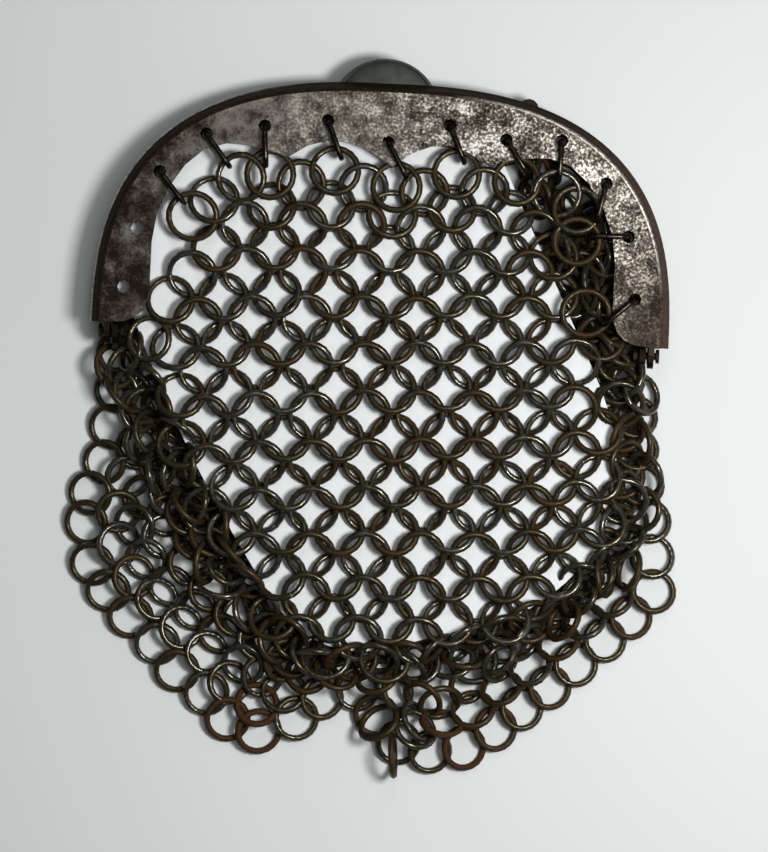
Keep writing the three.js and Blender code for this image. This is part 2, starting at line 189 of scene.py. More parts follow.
def smooth_path(knots: np.ndarray, steps: int) -> np.ndarray:
    """Smooth path: each span is the cubic through its two knots with the slopes of their neighbours.

    Args:
        knots: Points that the path goes through.
        steps: Points on each span.

    Returns:
        Points of the path, one row each.
    """
    padded = np.vstack([2 * knots[0] - knots[1], knots, 2 * knots[-1] - knots[-2]])
    a, b, c, d = (padded[k : k + len(knots) - 1, None] for k in range(4))
    t = (np.arange(steps) / steps)[None, :, None]
    spans = 0.5 * (2 * b + (c - a) * t + (2 * a - 5 * b + 4 * c - d) * t**2 + (3 * b - a - 3 * c + d) * t**3)
    return np.vstack([spans.reshape(-1, 2), knots[-1]])


def tangents_of(path: np.ndarray) -> np.ndarray:
    """Unit directions along a path."""
    return unit(np.gradient(path, axis=0))


def walk(path: np.ndarray, pitch: float, start: float) -> np.ndarray:
    """Places along a path at equal steps of its own length.

    Args:
        path: Points of the path.
        pitch: Length of a step.
        start: Length before the first place.

    Returns:
        The places, one row each.
    """
    along = np.concatenate([[0.0], np.cumsum(np.linalg.norm(np.diff(path, axis=0), axis=1))])
    stops = np.arange(start, along[-1], pitch)
    return np.stack([np.interp(stops, along, path[:, axis]) for axis in (0, 1)], axis=1)


def path_distance(points: np.ndarray, path: np.ndarray) -> np.ndarray:
    """Shortest distance from each point to the straight pieces of a path.

    Args:
        points: Points in the plane.
        path: Points of the path.

    Returns:
        One distance for each point.
    """
    step = np.diff(path, axis=0)
    offset = points[:, None] - path[None, :-1]
    share = np.clip((offset * step).sum(-1) / np.maximum((step**2).sum(-1), TINY), 0, 1)
    return np.linalg.norm(offset - share[..., None] * step, axis=-1).min(axis=1)


def outline_distance(points: np.ndarray, outline: np.ndarray) -> np.ndarray:
    """Distance from each point to a closed outline, counted negative inside it by the crossing rule.

    Args:
        points: Points in the plane.
        outline: Corners of the outline in order.

    Returns:
        One distance for each point.
    """
    closed = np.vstack([outline, outline[:1]])
    start, end = closed[None, :-1], closed[None, 1:]
    x, y = points[:, None, 0], points[:, None, 1]
    crosses = (start[..., 1] > y) != (end[..., 1] > y)
    rise = np.where(end[..., 1] == start[..., 1], 1.0, end[..., 1] - start[..., 1])
    at = start[..., 0] + (end[..., 0] - start[..., 0]) * (y - start[..., 1]) / rise
    inside = (crosses & (x < at)).sum(axis=1) % 2 == 1
    distance = path_distance(points, closed)
    return np.where(inside, -distance, distance)


def unit(vectors: np.ndarray) -> np.ndarray:
    """Vectors of length one."""
    return vectors / np.linalg.norm(vectors, axis=-1, keepdims=True)


def with_height(places: np.ndarray, heights: np.ndarray | float) -> np.ndarray:
    """Places in the plane with their heights as a third column."""
    return np.column_stack([places, np.broadcast_to(heights, len(places))])


def round_wire(
    line: np.ndarray, radial: np.ndarray, sideways: np.ndarray, radius: float, sides: int
) -> np.ndarray:
    """Circles round the middle lines of bent wires: line + w (cos b r + sin b n), b round the wire.

    Args:
        line: Middle line of each wire.
        radial: Unit directions r from the middle of each bend to its line.
        sideways: Unit direction n across each wire's bend.
        radius: Radius w of the wire.
        sides: Points round the wire.

    Returns:
        Array of wire, column, side and coordinate.
    """
    turn = np.arange(sides) * 2 * math.pi / sides
    circle = np.cos(turn)[:, None] * radial[:, :, None] + np.sin(turn)[:, None] * sideways[:, None, None]
    return line[:, :, None] + radius * circle


def grid_faces(rows: int, columns: int) -> np.ndarray:
    """Quads between rows of points that close on themselves.

    Args:
        rows: Number of rows.
        columns: Points in a row.

    Returns:
        Point numbers of each quad.
    """
    here = np.arange((rows - 1) * columns).reshape(-1, columns)
    beside = np.roll(here, -1, axis=1)
    return np.stack([here, here + columns, beside + columns, beside], axis=-1).reshape(-1, 4)


def capped_faces(rows: int, columns: int, turned: bool) -> list[list[int]]:
    """Quads between rows of points that close on themselves, with a flat face on the first and last row.

    Args:
        rows: Number of rows.
        columns: Points in a row.
        turned: Whether the faces run the other way round.

    Returns:
        Point numbers of each face.
    """
    first = np.arange(columns)
    last = first[::-1] + (rows - 1) * columns
    faces = [*grid_faces(rows, columns).tolist(), first.tolist(), last.tolist()]
    return [face[::-1] for face in faces] if turned else faces


@dataclass(frozen=True)
class Datum:
    """Middle of the hinge line on the table, in the row frame."""

    x: float
    y: float
    ear_reach: float = 2.5

    @classmethod
    def from_solids(cls) -> "Datum":
        """Finds the hinge line from the front half of the frame, whose ears reach below it."""
        low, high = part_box("front_frame")
        return cls((low.x + high.x) / 2, low.y + cls.ear_reach * MM)

    def metres(self, points: np.ndarray) -> np.ndarray:
        """Row-frame metres of points in millimetres from the hinge line."""
        return points * MM + np.array([self.x, self.y, 0.0])


def make_piece(
    name: str,
    points: np.ndarray,
    faces: list[list[int]],
    material: bpy.types.Material,
    values: dict[str, np.ndarray] | None = None,
    sharp: float = 40.0,
) -> bpy.types.Object:
    """Puts a mesh into the scene at the origin.

    Args:
        name: Name of the piece.
        points: Its points in row-frame metres.
        faces: Point numbers of each face.
        material: Its finish.
        values: Numbers for each point, by attribute name.
        sharp: Angle in degrees past which an edge is shaded as sharp.

    Returns:
        The new object.
    """
    mesh = bpy.data.meshes.new(name)
    mesh.from_pydata(points.reshape(-1, 3).tolist(), [], faces)
    for key, numbers in (values or {}).items():
        layer = mesh.attributes.new(key, "FLOAT", "POINT")
        layer.data.foreach_set("value", np.ascontiguousarray(numbers, dtype=np.float32))
    mesh.shade_smooth()
    mesh.set_sharp_from_angle(angle=math.radians(sharp))
    mesh.materials.append(material)
    piece = bpy.data.objects.new(name, mesh)
    bpy.context.scene.collection.objects.link(piece)
    return piece


def belongs(piece: bpy.types.Object, slot: str, *nodes: str) -> bpy.types.Object:
    """Makes a piece ride with the purse and stand for solids, which it hides.

    Args:
        piece: The piece.
        slot: Not used.
        nodes: Names of the solids that it stands for.

    Returns:
        The same piece.
    """
    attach(piece, BODY)
    if nodes:
        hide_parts(*nodes)
    LOG.info("%s: %d faces", piece.name, len(piece.data.polygons))
    return piece


# Finishes


def linear(colour: str) -> tuple[float, float, float, float]:
    """Linear colour of an sRGB hex value: a straight foot near black and a power of 2.4 above it.

    Args:
        colour: Hex value with its leading sign.

    Returns:
        Red, green and blue, and full opacity.
    """
    foot_end, foot_slope, lift, power = 0.04045, 12.92, 0.055, 2.4
    parts = np.array([int(colour[k : k + 2], 16) for k in (1, 3, 5)]) / 255
    light = np.where(parts <= foot_end, parts / foot_slope, ((parts + lift) / (1 + lift)) ** power)
    return (*light.tolist(), 1.0)


def fill_inputs(node: bpy.types.Node, inputs: dict[str | int, Any]) -> None:
    """Links or sets inputs of a node.

    Args:
        node: The node.
        inputs: For each input, a socket to link to it or a value to set.
    """
    for key, value in inputs.items():
        if isinstance(value, bpy.types.NodeSocket):
            node.id_data.links.new(value, node.inputs[key])
        else:
            node.inputs[key].default_value = value


def add_node(
    tree: bpy.types.NodeTree,
    kind: str,
    inputs: dict[str | int, Any] | None = None,
    stops: Stops = (),
    **settings: Any,
) -> bpy.types.Node:
    """Adds a node with its settings and links.

    Args:
        tree: Node tree of the material.
        kind: Type name of the node, without its leading ShaderNode.
        inputs: For each input, a socket to link to it or a value to set.
        stops: Places and hex colours of a colour ramp.
        settings: Properties of the node.

    Returns:
        The new node.
    """
    node = tree.nodes.new(f"ShaderNode{kind}")
    for key, value in settings.items():
        setattr(node, key, value)
    fill_inputs(node, inputs or {})
    for number, (place, colour) in enumerate(stops):
        elements = node.color_ramp.elements
        element = elements[number] if number < len(elements) else elements.new(place)
        element.position = place
        element.color = linear(colour)
    return node


def new_material(name: str) -> tuple[bpy.types.Material, bpy.types.NodeTree, bpy.types.Node]:
    """Empty material whose shader is already linked to the output.

    Args:
        name: Name of the material.

    Returns:
        The material, its tree and its shader.
    """
    material = bpy.data.materials.new(name)
    material.use_nodes = True
    tree = material.node_tree
    tree.nodes.clear()
    shader = add_node(tree, "BsdfPrincipled")
    add_node(tree, "OutputMaterial", {"Surface": shader.outputs["BSDF"]})
    return material, tree, shader


# Sockets of a node that mixes colours
MIX_A, MIX_B, MIX_RESULT = 6, 7, 2


@dataclass(frozen=True)
class Grain:
    """Noise pattern: the size of its spots, its levels of detail and how strong the finer ones are."""

    size_mm: float
    detail: float = 4.0
    roughness: float = 0.6

    def inputs(self, place: bpy.types.NodeSocket) -> dict[str, Any]:
        """Inputs of a noise in metres whose spots have this size."""
        scale = 1 / (self.size_mm * MM)
        return {"Vector": place, "Scale": scale, "Detail": self.detail, "Roughness": self.roughness}


@dataclass(frozen=True)
class WornSheetSteel:
    """Rolled sheet steel: rubbed grey and stained at left, pitted and sparkling at right with painted shade
    over the right and lower limb, edges brown with painted shade.
    """

    name: str = "worn_sheet_steel"
    pits: Grain = Grain(0.32, 3.0, 0.6)
    stains: Grain = Grain(3.2, 6.0, 0.66)
    clouds: Grain = Grain(12.0, 3.0, 0.5)
    cloud_shift_mm: float = 20.0
    pitted_mm: Span = (-6.0, 18.0)
    browned_mm: Span = (-10.0, -23.0)
    limb_y_mm: Span = (9.0, 20.0)
    limb_pits: float = 0.4
    fleck: float = 0.34
    soot: float = 0.2
    pit_share: float = 0.5
    pit_depth_mm: float = 0.05
    face_mm: Span = (2.4, 2.58)
    foot_slant: float = 0.35
    # Span towards the right and lower limb over which the painted shade comes in, in millimetres.
    right_shade_mm: Span = (12.0, 27.0)
    rubbed_tones: Stops = ((0.28, "#1C1510"), (0.4, "#403A33"), (0.5, "#615D56"), (0.66, "#7A766F"))
    pitted_tones: Stops = (
        (0.39, "#130E0A"),
        (0.45, "#2F2A24"),
        (0.49, "#4F4941"),
        (0.53, "#6F6A62"),
        (0.6, "#C6C2BA"),
    )
    # Tint multiplied over the right and lower limb: painted shade that holds down the key light there.
    right_shade_tint: str = "#655B52"
    # Brown below the faces: the steel's brown skin, made darker as painted shade on the walls and hinge
    # ears.
    edge_brown_and_shade: str = "#1E170D"
    roughness: Span = (0.52, 0.36)
    metallic: float = 0.9

    def material(self) -> bpy.types.Material:
        """Soft stains and fine pits mixed by the place along the frame, with painted shade multiplied over
        the right and lower limb; edges below the faces stay brown, partly as painted shade.

        Returns:
            The finish.
        """
        material, tree, shader = new_material(self.name)
        place = add_node(tree, "TexCoord").outputs["Object"]
        x, y, z = add_node(tree, "SeparateXYZ", {"Vector": place}).outputs
        pits, stains, clouds = (
            add_node(tree, "TexNoise", grain.inputs(place)).outputs["Fac"]
            for grain in (self.pits, self.stains, self.clouds)
        )
        across = add_node(
            tree, "Math", {0: clouds, 1: self.cloud_shift_mm * MM, 2: x}, operation="MULTIPLY_ADD"
        ).outputs[0]
        pitted, browned = (
            add_node(
                tree, "MapRange", {"Value": across, "From Min": low * MM, "From Max": high * MM}
            ).outputs["Result"]
            for low, high in (self.pitted_mm, self.browned_mm)
        )
        low, high = self.limb_y_mm
        upper = add_node(
            tree,
            "MapRange",
            {"Value": y, "From Min": low * MM, "From Max": high * MM, "To Min": self.limb_pits},
        ).outputs["Result"]
        pitted = add_node(tree, "Math", {0: pitted, 1: upper}, operation="MULTIPLY").outputs[0]
        flecked = add_node(
            tree, "Math", {0: pits, 1: self.fleck, 2: stains}, operation="MULTIPLY_ADD"
        ).outputs[0]
        even = -self.fleck / 2
        soot = add_node(
            tree, "MapRange", {"Value": browned, "To Min": even, "To Max": even - self.soot}
        ).outputs["Result"]
        sooty = add_node(tree, "Math", {0: flecked, 1: soot}, operation="ADD").outputs[0]
        rubbed = add_node(tree, "ValToRGB", {"Fac": sooty}, self.rubbed_tones).outputs["Color"]
        mottle = add_node(tree, "Math", {0: stains, 1: 1 - self.pit_share}, operation="MULTIPLY").outputs[0]
        spots = add_node(
            tree, "Math", {0: pits, 1: self.pit_share, 2: mottle}, operation="MULTIPLY_ADD"
        ).outputs[0]
        sparkling = add_node(tree, "ValToRGB", {"Fac": spots}, self.pitted_tones).outputs["Color"]
        face = add_node(
            tree, "Mix", {0: pitted, MIX_A: rubbed, MIX_B: sparkling}, data_type="RGBA"
        ).outputs[MIX_RESULT]
        # Painted shade: the right and lower limb is multiplied darker where the key light falls strongest.
        to_foot = add_node(
            tree, "Math", {0: y, 1: -self.foot_slant, 2: x}, operation="MULTIPLY_ADD"
        ).outputs[0]
        rise = add_node(tree, "Math", {0: z, 1: LEVELS.parting * MM}, operation="SUBTRACT").outputs[0]
        off_middle = add_node(tree, "Math", {0: rise}, operation="ABSOLUTE").outputs[0]
        right, on_face = (
            add_node(
                tree, "MapRange", {"Value": value, "From Min": low * MM, "From Max": high * MM}
            ).outputs["Result"]
            for value, (low, high) in ((to_foot, self.right_shade_mm), (off_middle, self.face_mm))
        )
        right_shaded = add_node(
            tree,
            "Mix",
            {0: right, MIX_A: face, MIX_B: linear(self.right_shade_tint)},
            data_type="RGBA",
            blend_type="MULTIPLY",
        ).outputs[MIX_RESULT]
        # Parts below the faces take the edge brown, partly painted shade.
        colour = add_node(
            tree, "Mix", {0: on_face, MIX_A: linear(self.edge_brown_and_shade), MIX_B: right_shaded}, data_type="RGBA"
        ).outputs[MIX_RESULT]
        low, high = self.roughness
        gloss = add_node(
            tree, "MapRange", {"Value": pitted, "To Min": low, "To Max": high}
        ).outputs["Result"]
        relief = add_node(
            tree, "Bump", {"Strength": pitted, "Distance": self.pit_depth_mm * MM, "Height": spots}
        ).outputs["Normal"]
        fill_inputs(shader, {"Base Color": colour, "Roughness": gloss, "Normal": relief})
        fill_inputs(shader, {"Metallic": self.metallic})
        return material


@dataclass(frozen=True)
class RolledEdgeSteel:
    """Rolled edge of the sheet: a fold painted pale as a highlight at the upper right above a dark brown
    flare, with painted light on the flare at right and on the foot at left.
    """

    name: str = "rolled_edge_steel"
    spots: Grain = Grain(0.35)
    tone_places: Span = (0.36, 0.66)
    # Pale tones of the fold: a painted highlight where the brown number is low.
    fold: tuple[str, str] = ("#6A655D", "#D2CDC4")
    flare: tuple[str, str] = ("#171007", "#2C2214")
    # Paler flare tones towards the right: painted light where the key light falls.
    lit_flare: tuple[str, str] = ("#2C211B", "#54433B")
    lit_flare_x_mm: Span = (20.0, 33.0)
    roughness: Span = (0.3, 0.6)
    metallic: Span = (0.9, 0.0)
    specular: float = 0.03
    # Point attribute: 1 gives the brown flare, 0 the pale painted highlight.
    brown_vs_highlight_key: str = "brown"

    def material(self) -> bpy.types.Material:
        """Noisy tones of fold and flare mixed by the brown number of each point, where fold tones mark
        painted highlights; the fold is smoother.

        Returns:
            The finish.
        """
        material, tree, shader = new_material(self.name)
        place = add_node(tree, "TexCoord").outputs["Object"]
        x = add_node(tree, "SeparateXYZ", {"Vector": place}).outputs["X"]
        brown = add_node(tree, "Attribute", attribute_name=self.brown_vs_highlight_key).outputs["Fac"]
        noise = add_node(tree, "TexNoise", self.spots.inputs(place)).outputs["Fac"]
        fold, flare, lit_flare = (
            add_node(tree, "ValToRGB", {"Fac": noise}, tuple(zip(self.tone_places, tones))).outputs["Color"]
            for tones in (self.fold, self.flare, self.lit_flare)
        )
        # Painted light: the flare turns paler towards the right.
        low, high = self.lit_flare_x_mm
        right = add_node(
            tree, "MapRange", {"Value": x, "From Min": low * MM, "From Max": high * MM}
        ).outputs["Result"]
        flare = add_node(
            tree, "Mix", {0: right, MIX_A: flare, MIX_B: lit_flare}, data_type="RGBA"
        ).outputs[MIX_RESULT]
        # Painted highlight: where the brown number is low the edge takes the pale fold tones.
        colour = add_node(
            tree, "Mix", {0: brown, MIX_A: fold, MIX_B: flare}, data_type="RGBA"
        ).outputs[MIX_RESULT]
        gloss, metal = (
            add_node(
                tree, "MapRange", {"Value": brown, "To Min": on_fold, "To Max": on_flare}
            ).outputs["Result"]
            for on_fold, on_flare in (self.roughness, self.metallic)
        )
        fill_inputs(shader, {"Base Color": colour, "Roughness": gloss, "Metallic": metal})
        fill_inputs(shader, {"Specular IOR Level": self.specular})
        return material


@dataclass(frozen=True)
class BrownedSteel:
    """Steel with its dark oil-browned skin left on: low gloss, olive to black, paler where it is rubbed."""

    name: str
    dark: str
    pale: str
    spots: Grain
    roughness: float = 0.42
    metallic: float = 0.8
    tone_places: Span = (0.36, 0.68)
    relief: float = 0.4
    relief_mm: float = 0.03

    def material(self) -> bpy.types.Material:
        """Even dark skin broken by soft noise, with a fine uneven relief.

        Returns:
            The finish.
        """
        material, tree, shader = new_material(self.name)
        place = add_node(tree, "TexCoord").outputs["Object"]
        noise = add_node(tree, "TexNoise", self.spots.inputs(place)).outputs["Fac"]
        tones = tuple(zip(self.tone_places, (self.dark, self.pale)))
        colour = add_node(tree, "ValToRGB", {"Fac": noise}, tones).outputs["Color"]
        relief = add_node(
            tree, "Bump", {"Strength": self.relief, "Distance": self.relief_mm * MM, "Height": noise}
        ).outputs["Normal"]
        fill_inputs(shader, {"Base Color": colour, "Normal": relief})
        fill_inputs(shader, {"Roughness": self.roughness, "Metallic": self.metallic})
        return material


@dataclass(frozen=True)
class RingWire:
    """Drawn steel wire, bent to rings and darkened with age: gunmetal with brown films and rusty rings."""

    name: str = "aged_steel_wire"
    film: Grain = Grain(1.1, 3.0, 0.5)
    crust: Grain = Grain(0.25, 4.0, 0.7)
    film_share: float = 0.9
    tones: Stops = ((0.42, "#504E45"), (0.56, "#3B3525"), (0.74, "#342914"), (1.0, "#3A220B"))
    rusting: Span = (0.5, 1.0)
    roughness: Span = (0.18, 0.75)
    metallic: Span = (0.72, 0.1)
    relief: float = 0.3
    relief_mm: float = 0.02
    specular: float = 0.25
    rust_key: str = "rust"

    def material(self) -> bpy.types.Material:
        """Gunmetal that turns to brown film and to rough rust with the ring's own rust number.

        Returns:
            The finish.
        """
        material, tree, shader = new_material(self.name)
        place = add_node(tree, "TexCoord").outputs["Object"]
        aged = add_node(tree, "Attribute", attribute_name=self.rust_key).outputs["Fac"]
        film, crust = (
            add_node(tree, "TexNoise", grain.inputs(place)).outputs["Fac"]
            for grain in (self.film, self.crust)
        )
        amount = add_node(
            tree, "Math", {0: film, 1: self.film_share, 2: aged}, operation="MULTIPLY_ADD", use_clamp=True
        ).outputs[0]
        colour = add_node(tree, "ValToRGB", {"Fac": amount}, self.tones).outputs["Color"]
        least, most = self.rusting
        gloss, metal = (
            add_node(
                tree,
                "MapRange",
                {"Value": amount, "From Min": least, "From Max": most, "To Min": clean, "To Max": rusty},
            ).outputs["Result"]
            for clean, rusty in (self.roughness, self.metallic)
        )
        relief = add_node(
            tree, "Bump", {"Strength": self.relief, "Distance": self.relief_mm * MM, "Height": crust}
        ).outputs["Normal"]
        fill_inputs(shader, {"Base Color": colour, "Roughness": gloss, "Metallic": metal, "Normal": relief})
        fill_inputs(shader, {"Specular IOR Level": self.specular})
        return material


@dataclass(frozen=True)
class UncoatedCard:
    """Uncoated white card: dead matte, a little cool, with a barely visible fibre mottle."""

    name: str = "uncoated_white_card"
    fibre: Grain = Grain(1.6, 5.0, 0.5)
    tones: Stops = ((0.3, "#E2E4E5"), (0.7, "#EAECED"))
    roughness: float = 0.9

    def material(self) -> bpy.types.Material:
        """Two close whites mixed by a soft fibre noise.

        Returns:
            The finish.
        """
        material, tree, shader = new_material(self.name)
        place = add_node(tree, "TexCoord").outputs["Object"]
        fibre = add_node(tree, "TexNoise", self.fibre.inputs(place)).outputs["Fac"]
        colour = add_node(tree, "ValToRGB", {"Fac": fibre}, self.tones).outputs["Color"]
        fill_inputs(shader, {"Base Color": colour, "Roughness": self.roughness})
        return material


# Rings of wire


@dataclass
class Rings:
    """Rings of bent wire: where each lies, the way it faces, its size and how rusty it is."""

    centres: np.ndarray
    normals: np.ndarray
    radii: np.ndarray
    rust: np.ndarray

    def __add__(self, other: "Rings") -> "Rings":
        """Both sets of rings together."""
        return Rings(
            np.vstack([self.centres, other.centres]),
            np.vstack([self.normals, other.normals]),
            np.concatenate([self.radii, other.radii]),
            np.concatenate([self.rust, other.rust]),
        )

    def kept(self, keep: np.ndarray) -> "Rings":
        """The rings that a mask keeps."""
        return Rings(self.centres[keep], self.normals[keep], self.radii[keep], self.rust[keep])


@dataclass
class WireBender:
    """Bends many rings at once, each with its own butt joint."""

    wire: float = 0.415
    columns: int = 20
    sides: int = 5
    joint: Span = (0.002, 0.01)
    gaping: Span = (0.02, 0.15)
    oval: float = 0.025
    spring: float = 0.14
    swollen: float = 1.03
    table_gap: float = 0.06
    near_axis: float = 0.8
    sharp: float = 80.0
    seed: int = 7

    def settled(self, rings: Rings) -> Rings:
        """Lifts each ring that would sink into the table until its wire lies on it.

        Args:
            rings: Rings as they hang or lie.

        Returns:
            The same rings, none of them in the table.
        """
        facing = unit(rings.normals)
        low = rings.radii * np.sqrt(1 - facing[:, 2] ** 2) + self.wire
        centres = rings.centres.copy()
        centres[:, 2] = np.maximum(centres[:, 2], self.swollen * low + self.table_gap)
        return replace(rings, centres=centres)

    def points(self, rings: Rings) -> np.ndarray:
        """Points of each ring: round wire about centre + R(a) r(a), a round the ring.

        The radius R swells twice round the ring, and the two ends of the wire step apart along the normal.

        Args:
            rings: The rings to bend.

        Returns:
            Array of ring, column, side and coordinate.
        """
        random = np.random.default_rng(self.seed)
        count = len(rings.radii)
        normal = unit(rings.normals)
        helper = np.where(np.abs(normal[:, :1]) < self.near_axis, [[1.0, 0.0, 0.0]], [[0.0, 1.0, 0.0]])
        first = unit(np.cross(normal, helper))
        second = np.cross(normal, first)
        rare, gape = self.gaping
        opening = random.uniform(*self.joint, count) + gape * (random.random(count) < rare)
        start = random.uniform(0, 2 * math.pi, count)
        share = np.linspace(0, 1, self.columns + 1)
        angle = start[:, None] + opening[:, None] / 2 + (2 * math.pi - opening[:, None]) * share
        radial = np.cos(angle)[..., None] * first[:, None] + np.sin(angle)[..., None] * second[:, None]
        swell = 1 + self.oval * random.uniform(-1, 1, (count, 1)) * np.cos(2 * angle)
        step = self.spring * random.uniform(-1, 1, (count, 1)) * (share - 0.5)
        line = rings.centres[:, None] + (rings.radii[:, None] * swell)[..., None] * radial
        line = line + step[..., None] * normal[:, None]
        return round_wire(line, radial, normal, self.wire, self.sides)

    def faces(self, count: int) -> list[list[int]]:
        """Quads along every ring's wire and a flat face at each cut end.

        Args:
            count: Number of rings.

        Returns:
            Point numbers of each face.
        """
        start = np.arange(self.sides)
        end = start[::-1] + self.columns * self.sides
        shift = np.arange(count)[:, None, None] * (self.columns + 1) * self.sides
        quads = (shift + grid_faces(self.columns + 1, self.sides)).reshape(-1, 4)
        cut_ends = (shift + np.stack([start, end])).reshape(-1, self.sides)
        return quads.tolist() + cut_ends.tolist()

    def piece(self, name: str, rings: Rings, datum: Datum, material: bpy.types.Material) -> bpy.types.Object:
        """One mesh of all the rings, with each ring's rust at its points.

        Args:
            name: Name of the piece.
            rings: The rings.
            datum: Where the purse lies.
            material: Finish of the wire.

        Returns:
            The new object.
        """
        points = self.points(self.settled(rings))
        values = {RingWire.rust_key: np.repeat(rings.rust, points.shape[1] * points.shape[2])}
        faces = self.faces(len(rings.radii))
        return make_piece(name, datum.metres(points), faces, material, values, self.sharp)


# Connecting links


@dataclass
class Links:
    """Flattened links that hang the mail in the frame, one through each hole that still has one."""

    datum: Datum
    end_radius: float = 1.2
    length: float = 4.8
    wire: float = 0.375
    columns: int = 20
    sides: int = 6
    sharp: float = 80.0

    def directions(self) -> np.ndarray:
        """Unit directions of the links in the plane, from the hole towards the mail."""
        lean = np.radians([hole.lean for hole in HOLES])
        return np.stack([np.sin(lean), -np.cos(lean)], axis=1)

    def holes(self) -> np.ndarray:
        """Places of the holes."""
        return np.array([(hole.x, hole.y) for hole in HOLES])

    def ring_places(self) -> np.ndarray:
        """Middles of the mail rings that hang in the links."""
        return np.array([(hole.ring_x, hole.ring_y) for hole in HOLES])

    def build(self, layer: Layer, level: float, material: bpy.types.Material) -> bpy.types.Object:
        """Upright stadium loops: half circles of wire pulled apart along the link.

        Args:
            layer: Half of the frame that the links are in.
            level: Height of that half's plate.
            material: Finish of the wire.

        Returns:
            One piece with all the links of the half.
        """
        along = with_height(self.directions(), 0.0)
        middle = with_height(self.holes() + self.directions() * self.length / 2, level)
        upright = np.array([0.0, 0.0, 1.0])
        angle = (np.arange(self.columns) + 0.5) * 2 * math.pi / self.columns
        radial = np.cos(angle)[:, None] * along[:, None] + np.sin(angle)[:, None] * upright
        pull = np.sign(np.cos(angle)) * (self.length / 2 - self.end_radius)
        line = middle[:, None] + self.end_radius * radial + pull[:, None] * along[:, None]
        points = round_wire(line, radial, np.cross(along, upright), self.wire, self.sides)
        each = self.columns * self.sides
        loop = grid_faces(self.columns + 1, self.sides) % each
        faces = (np.arange(len(HOLES))[:, None, None] * each + loop).reshape(-1, 4).tolist()
        name = f"{layer.value}_links"
        piece = make_piece(name, self.datum.metres(points), faces, material, sharp=self.sharp)
        nodes = [f"{layer.value}_link_{number:02d}" for number in range(1, len(HOLES) + 1)]
        return belongs(piece, "ring_wire", *nodes)


# Mail


@dataclass(frozen=True)
class WarpTerm:
    """Part of the map from the weave's counts to places: powers of the counts and what they add."""

    across: int
    down: int
    x: float
    y: float


# Cubic map of the weave, whose rows lean and spread a little
WARP = (
    WarpTerm(0, 0, 1.42, -0.73),
    WarpTerm(0, 1, 2.54, -34.45),
    WarpTerm(0, 2, 1.18, -2.31),
    WarpTerm(0, 3, -2.21, 3.05),
    WarpTerm(1, 0, 26.74, 1.24),
    WarpTerm(1, 1, -2.92, 1.24),
    WarpTerm(1, 2, 4.29, -1.78),
    WarpTerm(2, 0, -0.39, -0.22),
    WarpTerm(2, 1, -0.19, 0.62),
    WarpTerm(3, 0, -1.07, 0.56),
)


@dataclass(frozen=True)
class DrapeChain:
    """Chain of steep rings beside the card: shares of the edge from its left top, place, lean and height."""

    start: float
    end: float
    offset: float
    pitch: float
    tilt: float
    height: float


DRAPE = (
    DrapeChain(0.01, 0.62, 1.2, 3.9, 56, 3.0),
    DrapeChain(0.01, 0.36, 2.9, 4.8, -42, 2.6),
    DrapeChain(0.01, 0.12, 4.4, 3.3, -48, 2.2),
    DrapeChain(0.42, 0.58, 3.0, 4.3, -50, 2.6),
    DrapeChain(0.6, 0.745, 2.4, 3.1, -40, 2.0),
    DrapeChain(0.6, 0.735, 4.4, 3.2, 48, 2.6),
    DrapeChain(0.61, 0.715, 6.4, 3.2, -36, 2.4),
)


@dataclass(frozen=True)
class HemRow:
    """Row of rings beside the hem: its depth, its lean left and right of the notch, and its lift."""

    depth: float
    left: float
    right: float
    lift: float


HEM_ROWS = (
    HemRow(2.9, 10, 9, 0.1),
    HemRow(6.5, -17, -46, 0.1),
    HemRow(9.2, 20, 44, 0.3),
    HemRow(12.4, -22, -40, 0.5),
    HemRow(16.0, 22, 34, 0.7),
)


@dataclass(frozen=True)
class StandingRing:
    """Ring that stands or lies across the others: its middle, and the way it faces."""

    x: float
    y: float
    z: float
    facing: float
    rise: float


STANDING_RINGS = (
    StandingRing(-27.8, -1.8, 5.2, 120, 84),
    StandingRing(4.1, -50.9, 2.95, 4, 4),
    StandingRing(2.2, -47.0, 3.1, 130, 38),
    StandingRing(6.6, -47.6, 3.2, 60, 52),
    StandingRing(24.0, -33.6, 3.4, 150, 34),
    StandingRing(32.2, -5.6, 3.0, 25, 48),
    StandingRing(30.4, -3.6, 3.4, 160, 40),
)


@dataclass(frozen=True)
class Rusting:
    """Rust of the rings: mostly little, more near the two bottom lobes of the hem."""

    lobes: tuple[Span, ...] = ((13.6, -49.2), (-12.6, -49.3))
    most: float = 0.34
    rarity: float = 1.6
    lobe_rust: float = 0.55
    lobe_reach: float = 4.5
    lobe_middle: float = 2.4
    lobe_share: float = 0.6

    def amounts(self, centres: np.ndarray, random: np.random.Generator) -> np.ndarray:
        """Random amounts, to a power that makes much rust rare, and a bell of more about each lobe's middle.

        Args:
            centres: Middles of the rings.
            random: Source of the random draws.

        Returns:
            Rust of each ring.
        """
        near = np.linalg.norm(centres[:, None, :2] - np.array(self.lobes), axis=-1).min(axis=1)
        amount = self.most * random.random(len(centres)) ** self.rarity
        taken = (random.random(len(centres)) < self.lobe_share) | (near < self.lobe_middle)
        return amount + self.lobe_rust * np.exp(-((near / self.lobe_reach) ** 2)) * taken


